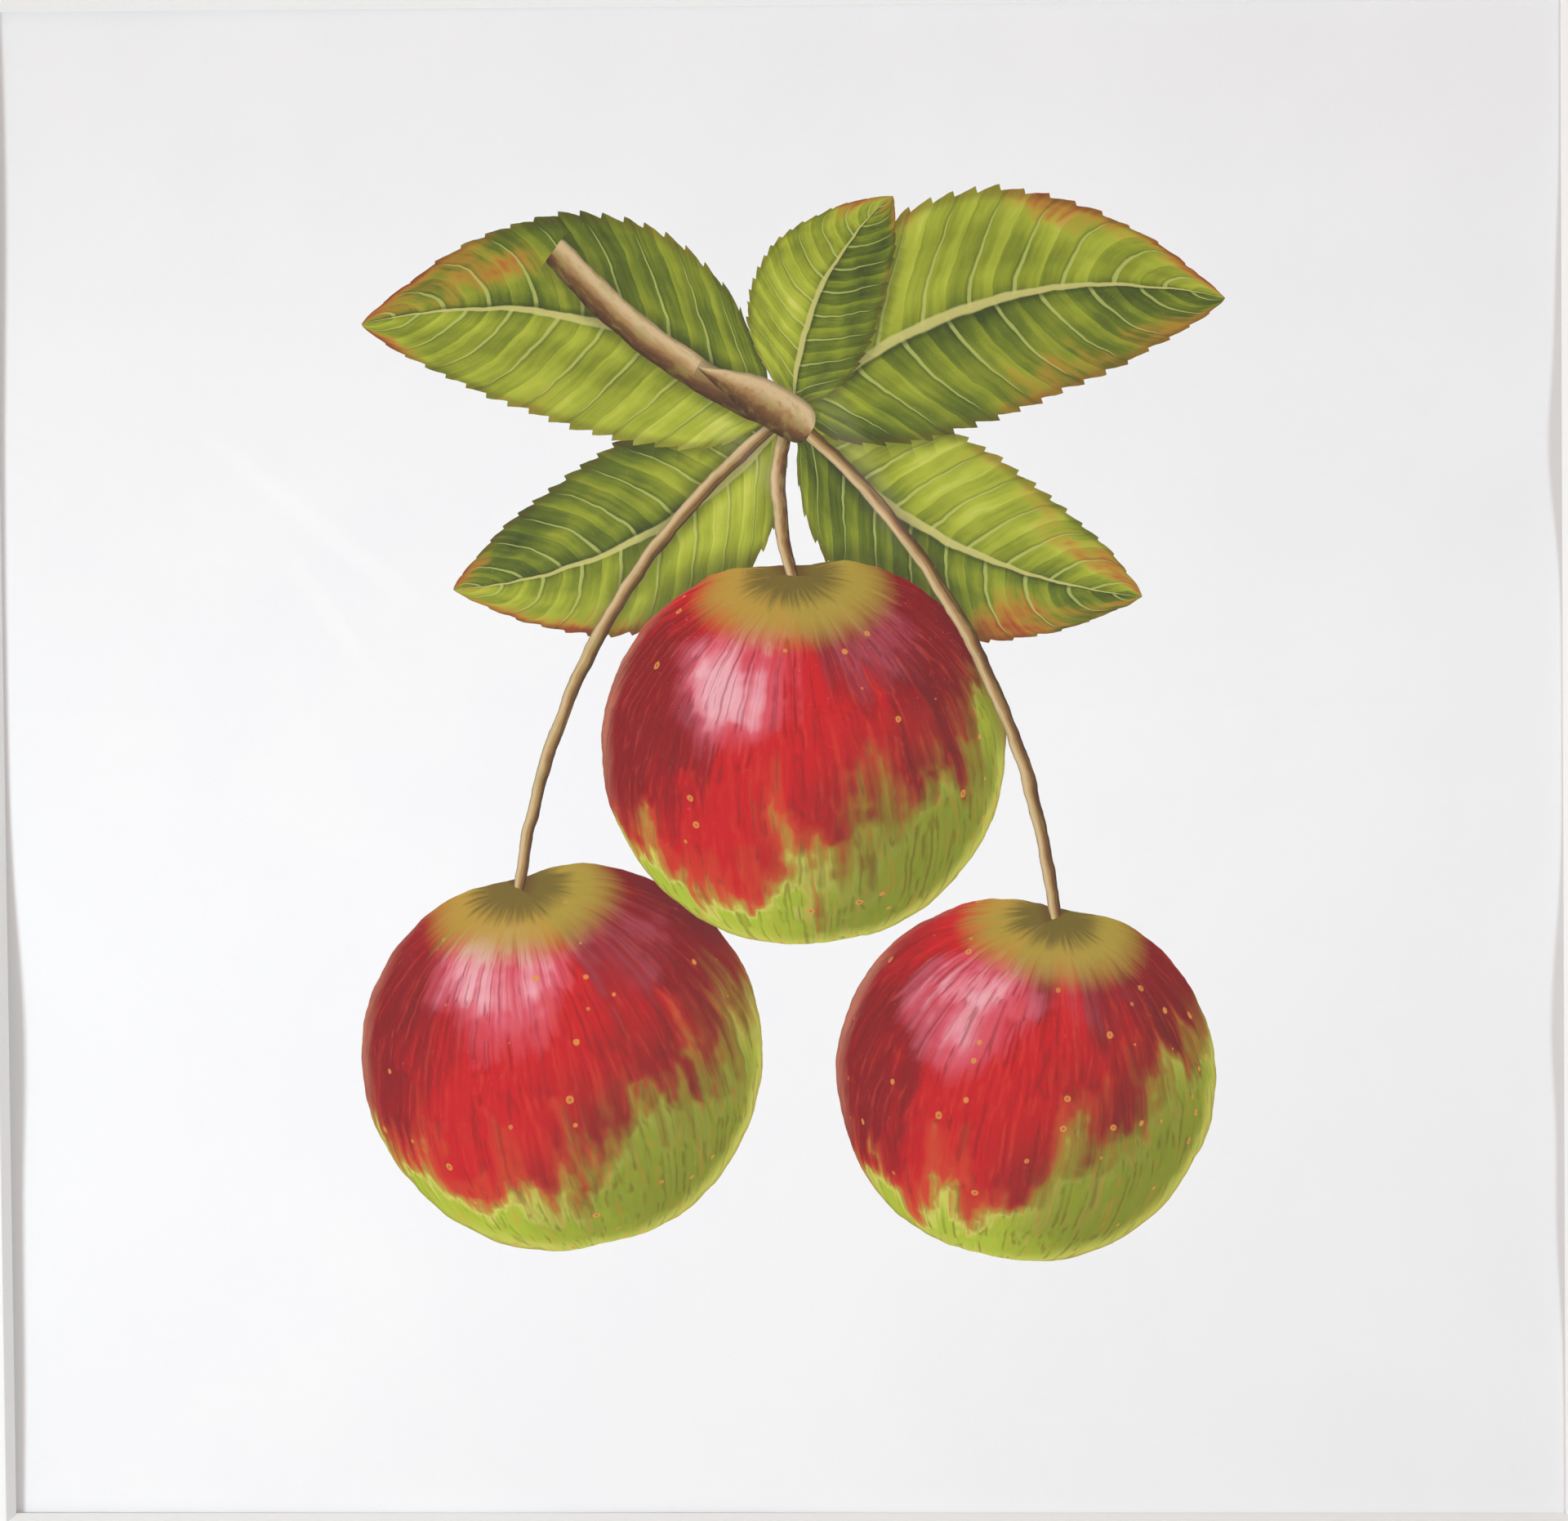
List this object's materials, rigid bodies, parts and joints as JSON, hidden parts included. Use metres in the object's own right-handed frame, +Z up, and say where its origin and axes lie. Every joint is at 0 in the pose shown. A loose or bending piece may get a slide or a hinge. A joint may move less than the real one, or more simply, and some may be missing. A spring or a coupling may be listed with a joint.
{
  "type": "framed picture",
  "caption": "Square framed and glazed picture: a cockled paper sheet behind a bevelled window mat, in narrow wooden rails, hung on a wall by a sawtooth hanger.",
  "frame": {"origin": "middle of the sawtooth hanger's back face, on the plane of the wall", "axes": "+X to the viewer's right, +Y into the wall, +Z up"},
  "size_m": [0.385, 0.0225, 0.385],
  "materials": {
    "oak": "pale, waxed, satin",
    "glass": "clear, polished",
    "mat_board": "white, smooth, matte",
    "art_paper": "smooth white watercolour paper with a painted design",
    "hinge_paper": "thin cream paper, matte",
    "grey_board": "matte",
    "fibreboard": "raw, matte brown",
    "zinc_steel": "zinc-plated",
    "brassed_steel": "brass-plated steel",
    "soft_rubber": "matte"
  },
  "bodies": {
    "root": {"rail_bottom": "oak", "rail_left": "oak", "rail_top": "oak", "rail_right": "oak", "point_bottom_1": "zinc_steel", "point_bottom_2": "zinc_steel", "point_left_1": "zinc_steel", "point_left_2": "zinc_steel", "point_top_1": "zinc_steel", "point_top_2": "zinc_steel", "point_right_1": "zinc_steel", "point_right_2": "zinc_steel", "glass_pane": "glass", "window_mat": "mat_board", "art_sheet": "art_paper", "hinge_left": "hinge_paper", "hinge_right": "hinge_paper", "under_board": "grey_board", "backing_board": "fibreboard", "sawtooth_hanger": "brassed_steel", "nail_left": "brassed_steel", "nail_right": "brassed_steel", "bumper_left": "soft_rubber", "bumper_right": "soft_rubber"}
  },
  "joints": []
}
